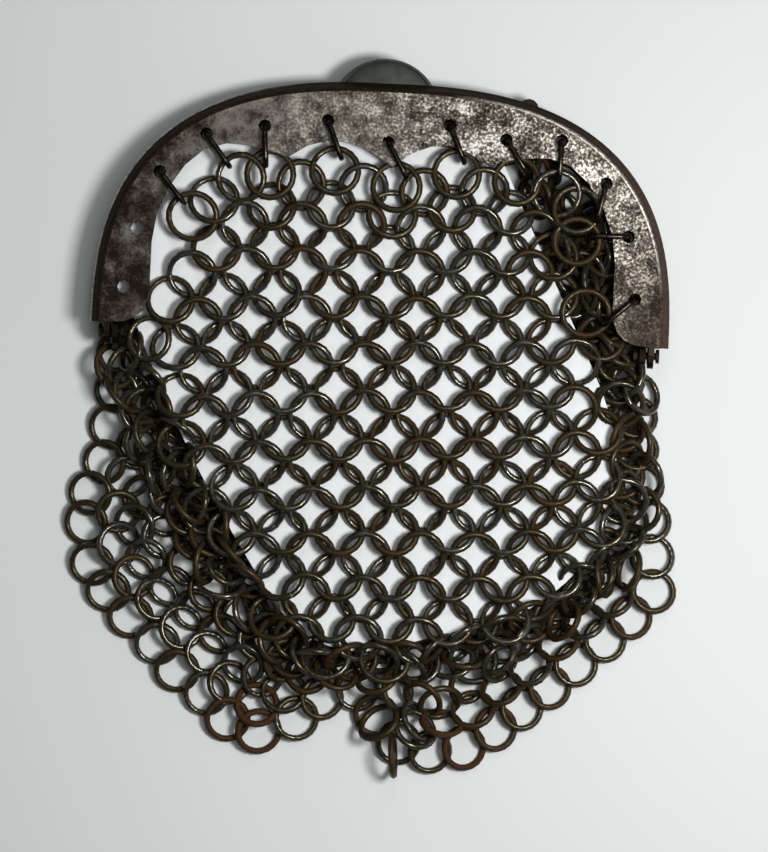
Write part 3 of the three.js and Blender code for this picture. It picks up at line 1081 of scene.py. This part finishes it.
@dataclass
class Mail:
    """Pouch of rings in four-in-one weave: each ring goes through two above it and two below it."""

    datum: Datum
    links: Links
    bender: WireBender = field(default_factory=WireBender)
    rusting: Rusting = Rusting()
    seed: int = 21
    card_steps: int = 12
    hem_steps: int = 14
    # Sheets of the weave
    ring_radius: float = 2.77
    ring_scatter: float = 0.012
    scatter: float = 0.1
    lean: float = 17.0
    lean_scatter: float = 2.5
    roll_scatter: float = 3.0
    columns: int = 12
    rows: tuple[int, int] = (-8, 15)
    counts: tuple[int, int] = (8, 12)
    back_shift: float = 1.0
    rest: float = 1.2
    fall_slope: float = 0.6
    fall: float = 2.6
    pin_reach: float = 2.6
    held_reach: float = 3.0
    held_flat: float = 0.8
    # Where the sheets end
    frame_clear: float = 2.1
    under_frame: float = 4.3
    between_limbs: float = 27.0
    below_limbs: float = 31.0
    tucked_x: Span = (18.0, 31.0)
    tucked_y: float = 15.0
    right_corner: Span = (20.0, -26.0)
    past_right: float = 3.8
    past_front: float = 1.6
    past_back: float = 4.0
    limb_y: float = -4.0
    past_limb: float = 9.0
    # Rows beside the hem
    hem_radius: float = 2.46
    hem_ring_scatter: float = 0.015
    hem_pitch: float = 4.3
    hem_start: float = 0.4
    hem_slack: float = 0.25
    hem_scatter: float = 0.16
    hem_lean_scatter: float = 0.2
    hem_notch_x: float = -2.4
    hem_fall: float = 11.0
    hem_clear: Span = (1.2, 2.2)
    hem_top: float = -4.2
    hinge_x: float = 30.0
    # Chains beside the card
    drape_corner: Span = (-29.8, 0.6)
    drape_start: float = 0.3
    drape_scatter: float = 0.42
    drape_tilt_scatter: float = 13.0
    drape_twist: float = 0.36
    drape_gap: float = 0.05
    drape_size: Span = (1.04, 0.02)

    def __post_init__(self) -> None:
        """Prepares the outlines that the rings keep to."""
        self.random = np.random.default_rng(self.seed)
        self.card = bend_outline(CARD_EDGE, self.card_steps)
        self.hem = smooth_path(HEM_KNOTS, self.hem_steps)

    def weave(self, shift: float) -> tuple[np.ndarray, np.ndarray, np.ndarray]:
        """Staggered counts of the weave mapped to places by the cubic warp.

        Args:
            shift: Counts that the whole weave is moved across by.

        Returns:
            Places, directions along the rows, and the row number of each ring.
        """
        columns = np.arange(-self.columns, self.columns + 1)
        down, across = np.meshgrid(np.arange(*self.rows), columns, indexing="ij")
        staggered = (down + across) % 2 == 0
        row, column = down[staggered], across[staggered] + shift
        u, v = column / self.counts[0], row / self.counts[1]
        places = sum(np.outer(u**term.across * v**term.down, (term.x, term.y)) for term in WARP)
        slopes = sum(
            np.outer(term.across * u ** (term.across - 1) * v**term.down, (term.x, term.y))
            for term in WARP
            if term.across
        )
        return places, unit(slopes), row

    def shown(self, places: np.ndarray, height: np.ndarray, beyond: np.ndarray, layer: Layer) -> np.ndarray:
        """Rings of a sheet that are clear of the frame or tucked under it, and not too far past the card.

        Args:
            places: Middles of the rings in the plane.
            height: Their heights.
            beyond: How far each is past the card's edge.
            layer: The sheet.

        Returns:
            Mask of the rings to keep.
        """
        x, y = places[:, 0], places[:, 1]
        reach = np.where(y > 0, self.between_limbs, self.below_limbs)
        clear = (outline_distance(places, INNER_EDGE) < -self.frame_clear) & (np.abs(x) < reach)
        left, right = self.tucked_x
        tucked = (x > left) & (x < right) & (y < self.tucked_y) & (height < self.under_frame)
        corner_x, corner_y = self.right_corner
        front = np.where((x > corner_x) & (y > corner_y), self.past_right, self.past_front)
        past_card = front if layer is Layer.FRONT else self.past_back
        return (clear | tucked) & (beyond < np.where(y > self.limb_y, self.past_limb, past_card))

    def panel(self, layer: Layer) -> Rings:
        """Flat sheet of rings in rows that lean by turns up and down, hung in the links at the top.

        Args:
            layer: The front sheet lies on the card, the back one under it.

        Returns:
            The sheet's rings.
        """
        front = layer is Layer.FRONT
        places, along, row = self.weave(0.0 if front else self.back_shift)
        places = places + self.random.normal(0, self.scatter, places.shape)
        targets = self.links.ring_places()
        gaps = np.linalg.norm(places[:, None] - targets, axis=-1)
        pinned = gaps.argmin(axis=0)
        pull = targets - places[pinned]
        weight = np.exp(-((gaps / self.pin_reach) ** 2))
        share = weight / np.maximum(weight.sum(axis=1, keepdims=True), 1.0)
        places = places + share @ pull
        places[pinned] = targets
        to_link = np.linalg.norm(places[:, None] - targets, axis=-1).min(axis=1)
        held = np.exp(-((to_link / self.held_reach) ** 2))
        beyond = np.maximum(outline_distance(places, self.card), 0.0)
        if front:
            level = LEVELS.front_plate
            fallen = np.minimum(self.fall_slope * beyond, self.fall)
            lying = LEVELS.card_top(places[:, 1]) + self.rest - fallen
        else:
            level = LEVELS.back_plate
            lying = np.full(len(places), self.rest)
        height = lying + (level - lying) * held
        lean = np.radians(self.lean * np.where(row % 2 == 0, 1, -1) * (1 - self.held_flat * held))
        lean = lean + np.radians(self.random.normal(0, self.lean_scatter, len(row)))
        roll = np.radians(self.random.normal(0, self.roll_scatter, len(row)))
        sideways = np.stack([-along[:, 1], along[:, 0]], axis=1)
        flat = np.sin(lean)[:, None] * sideways + np.sin(roll)[:, None] * along
        keep = self.shown(places, height, beyond, layer)
        keep[pinned] = True
        centres = with_height(places, height)
        radii = self.ring_radius * self.random.normal(1, self.ring_scatter, len(row))
        rust = self.rusting.amounts(centres, self.random)
        return Rings(centres, with_height(flat, np.cos(lean)), radii, rust).kept(keep)

    def draped(self) -> Rings:
        """Steep rings in crowded chains beside the card's edge, where the mail falls to the table.

        Returns:
            The rings of all the chains.
        """
        corner = np.linalg.norm(self.card[::-1] - self.drape_corner, axis=1).argmin()
        edge = np.roll(self.card[::-1], -corner, axis=0)
        direction = tangents_of(edge)
        outward = np.stack([direction[:, 1], -direction[:, 0]], axis=1)
        parts = []
        for chain in DRAPE:
            part = slice(round(chain.start * len(edge)), round(chain.end * len(edge)))
            path = edge[part] + outward[part] * chain.offset
            places = walk(path, chain.pitch, self.drape_start * chain.offset)
            nearest = np.linalg.norm(places[:, None] - edge, axis=-1).argmin(axis=1)
            places = places + self.random.normal(0, self.drape_scatter, places.shape)
            angle = np.radians(chain.tilt + self.random.normal(0, self.drape_tilt_scatter, len(places)))
            twist = self.random.normal(0, self.drape_twist, len(places))
            flat = np.sin(angle)[:, None] * outward[nearest] + twist[:, None] * direction[nearest]
            low = self.hem_radius * np.abs(np.sin(angle)) + self.bender.wire + self.drape_gap
            centres = with_height(places, np.maximum(low, chain.height))
            radii = self.hem_radius * self.random.normal(*self.drape_size, len(places))
            rust = self.rusting.amounts(centres, self.random)
            parts.append(Rings(centres, with_height(flat, np.cos(angle)), radii, rust))
        return sum(parts[1:], parts[0])

    def chains(self) -> Rings:
        """Rows of rings beside the hem that lean by turns and lie over one another like fallen coins.

        Returns:
            The rings of the loose fringe that lies on the table.
        """
        forward = tangents_of(self.hem)
        inward = forward @ np.array([[0.0, 1.0], [-1.0, 0.0]])
        fall = math.sin(math.radians(self.hem_fall))
        parts = []
        for number, row in enumerate(HEM_ROWS):
            path = self.hem + inward * row.depth
            path = path[path_distance(path, self.hem) > row.depth - self.hem_slack]
            places = walk(path, self.hem_pitch, self.hem_start + self.hem_pitch / 2 * (number % 2))
            nearest = np.linalg.norm(places[:, None] - self.hem, axis=-1).argmin(axis=1)
            places = places + self.random.normal(0, self.hem_scatter, places.shape)
            lean = np.where(places[:, 0] < self.hem_notch_x, row.left, row.right)
            angle = np.radians(lean * self.random.normal(1, self.hem_lean_scatter, len(places)))
            flat = fall * forward[nearest] - np.sin(angle)[:, None] * inward[nearest]
            height = self.hem_radius * np.abs(np.sin(angle)) + self.bender.wire + row.lift
            centres = with_height(places, height)
            radii = self.hem_radius * self.random.normal(1, self.hem_ring_scatter, len(places))
            rust = self.rusting.amounts(centres, self.random)
            rings = Rings(centres, with_height(flat, np.cos(angle)), radii, rust)
            parts.append(rings.kept(outline_distance(places, self.card) > self.hem_clear[min(number, 1)]))
        return sum(parts[1:], parts[0])

    def standing(self) -> Rings:
        """The few rings that stand or lie across the rest.

        Returns:
            One ring for each line of the table.
        """
        table = np.array([(ring.x, ring.y, ring.z, ring.facing, ring.rise) for ring in STANDING_RINGS])
        centres = table[:, :3]
        facing, rise = np.radians(table[:, 3]), np.radians(table[:, 4])
        flat = np.stack([np.cos(facing), np.sin(facing)], axis=1) * np.cos(rise)[:, None]
        radii = np.full(len(table), self.hem_radius)
        rust = self.rusting.amounts(centres, self.random)
        return Rings(centres, with_height(flat, np.sin(rise)), radii, rust)

    def fringe(self) -> Rings:
        """Hem rows and chains that leave the right hinge free, and the rings that stand across them.

        Returns:
            All the loose rings round the card.
        """
        loose = self.chains() + self.draped()
        beside_hinge = (loose.centres[:, 0] > self.hinge_x) & (loose.centres[:, 1] > self.hem_top)
        return loose.kept(~beside_hinge) + self.standing()

    def build(self, material: bpy.types.Material) -> None:
        """Makes the front sheet, the back sheet and the fringe, which together stand for the mail's solid.

        Args:
            material: Finish of the wire.
        """
        sets = {
            "front_mail": self.panel(Layer.FRONT),
            "back_mail": self.panel(Layer.BACK),
            "hem_mail": self.fringe(),
        }
        for name, rings in sets.items():
            belongs(self.bender.piece(name, rings, self.datum, material), "ring_wire", "mail_bag")


# Frame


@dataclass
class FrameRim:
    """Rolled edge of the front half, carried along the arch over the wall of its solid."""

    datum: Datum
    half_width: float = 35.0
    height: float = 30.45
    square_left: float = 2.62
    square_right: float = 2.68
    lip: tuple[Span, ...] = (
        (1.3, -0.2), (1.2, 0.015), (1.05, 0.03), (0.94, -0.01), (0.83, -0.12), (0.5, -0.95)
    )
    foot: tuple[Span, ...] = (
        (0.16, 0.55), (-0.04, 0.3), (-0.08, 0.1), (0.02, -0.02), (0.3, -0.02), (0.6, 0.4)
    )
    foot_lift: float = 0.15
    brown_from: int = 4
    # Span across and up over which the fold's painted highlight comes in at the upper right.
    fold_highlight_x: Span = (8.0, 18.0)
    fold_highlight_y: Span = (6.0, 16.0)
    # Foot rows between which a painted highlight runs along the left, and the span where it fades in.
    foot_highlight_rows: tuple[int, int] = (6, 9)
    foot_highlight_x: Span = (-10.0, -22.0)
    steps: int = 160
    sharp: float = 50.0

    def arch(self, inset: float) -> np.ndarray:
        """Superellipse from the right limb over the top to the left one: |x/a|^n + |y/b|^n = 1.

        Args:
            inset: How far inside the frame's outline it runs.

        Returns:
            Points of the arch, one row each.
        """
        angle = np.linspace(0, math.pi, self.steps + 1)
        power = 2 / np.where(np.cos(angle) < 0, self.square_left, self.square_right)
        x = np.sign(np.cos(angle)) * (self.half_width - inset) * np.abs(np.cos(angle)) ** power
        y = (self.height - inset) * np.abs(np.sin(angle)) ** power
        return np.stack([x, y], axis=1)

    def profile(self) -> np.ndarray:
        """Inset and height round the edge: over the plate's lip, down the flare and round the foot."""
        lip = np.array(self.lip) + (0.0, LEVELS.plate_top)
        return np.vstack([lip, np.array(self.foot) + (0.0, LEVELS.parting + self.foot_lift)])

    def build(self, material: bpy.types.Material) -> bpy.types.Object:
        """Carries the profile along the arch and closes both ends.

        Args:
            material: Finish of the edge.

        Returns:
            The rim piece.
        """
        profile = self.profile()
        points = np.stack([with_height(self.arch(inset), z) for inset, z in profile], axis=1)
        count = len(profile)
        faces = capped_faces(self.steps + 1, count, True)
        along, up, rubbed = (
            np.clip((points[..., axis] - start) / (end - start), 0, 1)
            for axis, (start, end) in ((0, self.fold_highlight_x), (1, self.fold_highlight_y), (0, self.foot_highlight_x))
        )
        row = np.arange(count)
        first, last = self.foot_highlight_rows
        # Brown number: fold rows are brown except at the upper right, where they are painted pale as a
        # highlight.
        brown = np.where(row >= self.brown_from, 1.0, 1 - along * up)
        # Painted highlight: on the left the outer foot rows take the pale fold tone.
        brown = brown - rubbed * ((row > first) & (row < last))
        values = {RolledEdgeSteel.brown_vs_highlight_key: brown.ravel()}
        piece = make_piece("front_frame_rim", self.datum.metres(points), faces, material, values, self.sharp)
        return belongs(piece, "plate_steel")


@dataclass
class ThumbDisc:
    """Round thumb piece: a low dome with a rolled edge, cut straight inside the frame."""

    datum: Datum
    x: float = -0.6
    y: float = 26.8
    radius: float = 6.7
    half_thickness: float = 0.4
    cut_y: float = 24.5
    pole_y: float = 28.4
    dome: tuple[Span, ...] = (
        (0.02, 0.12), (0.35, 0.1), (0.7, 0.04), (0.9, -0.03), (0.92, -0.1), (0.945, -0.02), (0.98, -0.05),
        (1.0, -0.3),
    )
    back: tuple[Span, ...] = ((1.0, 0.25), (0.97, 0.0), (0.02, 0.0))
    arc_steps: int = 72
    cut_steps: int = 16
    sharp: float = 35.0

    def outline(self) -> np.ndarray:
        """Circle above the cut, from right to left, and the straight cut back again.

        Returns:
            Points of the outline, one row each.
        """
        dip = math.asin((self.cut_y - self.y) / self.radius)
        angle = np.linspace(dip, math.pi - dip, self.arc_steps)
        arc = np.stack([self.x + self.radius * np.cos(angle), self.y + self.radius * np.sin(angle)], axis=1)
        share = np.linspace(0, 1, self.cut_steps + 1)[1:-1, None]
        return np.vstack([arc, arc[-1] + (arc[0] - arc[-1]) * share])

    def build(self, material: bpy.types.Material) -> bpy.types.Object:
        """Shrinks the outline towards a pole by shares, each at its own height, over the top and under.

        Args:
            material: Finish of the disc.

        Returns:
            The disc, in place of its solid.
        """
        dome = np.array(self.dome) + (0.0, LEVELS.parting + self.half_thickness)
        profile = np.vstack([dome, np.array(self.back) + (0.0, LEVELS.parting - self.half_thickness)])
        pole = np.array([self.x, self.pole_y])
        outline = self.outline()
        flat = pole + profile[:, None, :1] * (outline - pole)
        points = np.concatenate([flat, np.broadcast_to(profile[:, None, 1:], (*flat.shape[:2], 1))], axis=2)
        faces = capped_faces(len(profile), len(outline), False)
        piece = make_piece("thumb_disc_dome", self.datum.metres(points), faces, material, sharp=self.sharp)
        return belongs(piece, "disc_steel", "thumb_disc")


@dataclass
class CardEdge:
    """Left edge of the card, lifted against the frame's limb so that it shows through the empty holes."""

    datum: Datum
    start_x: float = -28.2
    end_x: float = -32.1
    rise_width: float = 0.9
    low_y: float = 2.6
    high_y: float = 12.8
    lifted: float = 4.3
    columns: int = 16
    rows: int = 8

    def build(self, material: bpy.types.Material) -> bpy.types.Object:
        """Strip that climbs from the card's face to the plate by s^2 (3 - 2s), s the share of the rise done.

        Args:
            material: Finish of the card.

        Returns:
            The strip.
        """
        across = np.linspace(self.start_x, self.end_x, self.columns)
        x, y = np.meshgrid(across, np.linspace(self.low_y, self.high_y, self.rows))
        done = np.clip((self.start_x - x) / self.rise_width, 0, 1)
        face = LEVELS.card_top(y)
        top = face + (self.lifted - face) * done**2 * (3 - 2 * done)
        upper = np.stack([x, y, top], axis=-1)
        lower = np.stack([x, y, top - LEVELS.card_thickness], axis=-1)[:, ::-1]
        points = np.concatenate([upper, lower], axis=1)
        faces = capped_faces(self.rows, points.shape[1], True)
        piece = make_piece("card_left_edge", self.datum.metres(points), faces, material)
        return belongs(piece, "card_white")


# Studio


@dataclass(frozen=True)
class Lamp:
    """Square soft light: its place and size in metres and its power."""

    name: str
    place: tuple[float, float, float]
    size: float
    power: float


LAMPS = (
    Lamp("key_light", (0.092, 0.0, 0.2), 0.05, 0.395),
    Lamp("far_light", (0.0, 0.2, 0.3), 0.12, 0.12),
    Lamp("side_fill", (0.26, -0.04, 0.08), 0.16, 0.09),
    Lamp("overhead_box", (0.13, 0.0, 0.56), 0.3, 0.42),
)


@dataclass
class Studio:
    """Pale table, soft light from the right and a camera straight above."""

    datum: Datum
    aim: Span = (1.1, -11.0)
    view_height: float = 0.52
    seen_height: float = 103.1
    seen_level: float = 5.0
    roll: float = 2.757
    table: str = "#D9DCDB"
    table_roughness: float = 0.7
    table_size: float = 3.0
    sky: str = "#F2F5F7"
    sky_strength: float = 0.1

    def build(self) -> None:
        """Makes the table, the lights, the sky and the camera."""
        self.floor()
        for lamp in LAMPS:
            self.hang(lamp)
        world = bpy.data.worlds.new("soft_room")
        world.use_nodes = True
        sky = world.node_tree.nodes["Background"]
        fill_inputs(sky, {"Color": linear(self.sky), "Strength": self.sky_strength})
        bpy.context.scene.world = world
        bpy.context.scene.view_settings.view_transform = "Standard"
        self.camera()

    def floor(self) -> None:
        """Flat square of a plain pale table top."""
        material, _, shader = new_material("painted_table_top")
        fill_inputs(shader, {"Base Color": linear(self.table), "Roughness": self.table_roughness})
        half = self.table_size / 2
        corners = np.array([(-half, -half, 0.0), (half, -half, 0.0), (half, half, 0.0), (-half, half, 0.0)])
        make_piece("table_top", corners, [[0, 1, 2, 3]], material)

    def hang(self, lamp: Lamp) -> None:
        """Puts a light into the scene, turned to the middle of the purse.

        Args:
            lamp: The light.
        """
        light = bpy.data.lights.new(lamp.name, "AREA")
        light.size = lamp.size
        light.energy = lamp.power
        fitting = bpy.data.objects.new(lamp.name, light)
        fitting.location = lamp.place
        fitting.rotation_euler = (-Vector(lamp.place)).to_track_quat("-Z", "Y").to_euler()
        bpy.context.scene.collection.objects.link(fitting)

    def camera(self) -> None:
        """Camera straight above the middle of the picture, turned so that the frame leans as there."""
        lens = bpy.data.cameras.new("above")
        lens.sensor_fit = "VERTICAL"
        lens.angle = 2 * math.atan(self.seen_height * MM / 2 / self.view_height)
        camera = bpy.data.objects.new("above", lens)
        x, y, _ = self.datum.metres(np.array([*self.aim, 0.0]))
        camera.location = (x, y, self.view_height + self.seen_level * MM)
        camera.rotation_euler = (0.0, 0.0, math.radians(self.roll))
        bpy.context.scene.collection.objects.link(camera)
        bpy.context.scene.camera = camera


def dress(nodes: dict[str, bpy.types.Object], names: list[str], material: bpy.types.Material) -> None:
    """Gives solids that stay a finish.

    Args:
        nodes: The solids by name.
        names: Those that get the finish.
        material: The finish.
    """
    for name in names:
        nodes[name].data.materials.clear()
        nodes[name].data.materials.append(material)
        LOG.info("%s: %s", name, material.name)


def main() -> None:
    """Builds the purse in order."""
    logging.basicConfig(level=logging.INFO, format="%(message)s")
    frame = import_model()
    datum = Datum.from_solids()
    wire = RingWire().material()
    dark_steel = BrownedSteel(
        name="browned_steel_edge", dark="#1D1710", pale="#3F3628", spots=Grain(0.4)
    ).material()
    link_steel = BrownedSteel(
        name="black_link_wire",
        dark="#17130D",
        pale="#453D32",
        spots=Grain(0.5),
        roughness=0.24,
        metallic=0.9,
    ).material()
    disc_steel = BrownedSteel(
        name="dull_disc_steel",
        dark="#2B2F29",
        pale="#3A3F38",
        spots=Grain(1.6),
        roughness=0.5,
        metallic=0.5,
    ).material()
    dress(frame["nodes"], ["front_frame", "back_frame"], WornSheetSteel().material())
    dress(frame["nodes"], ["hinge_pin_left", "hinge_pin_right"], dark_steel)
    card = UncoatedCard().material()
    dress(frame["nodes"], ["insert_card"], card)
    CardEdge(datum).build(card)
    FrameRim(datum).build(RolledEdgeSteel().material())
    ThumbDisc(datum).build(disc_steel)
    links = Links(datum)
    links.build(Layer.FRONT, LEVELS.front_plate, link_steel)
    links.build(Layer.BACK, LEVELS.back_plate, link_steel)
    Mail(datum, links).build(wire)
    Studio(datum).build()


if __name__ == "__main__":
    main()
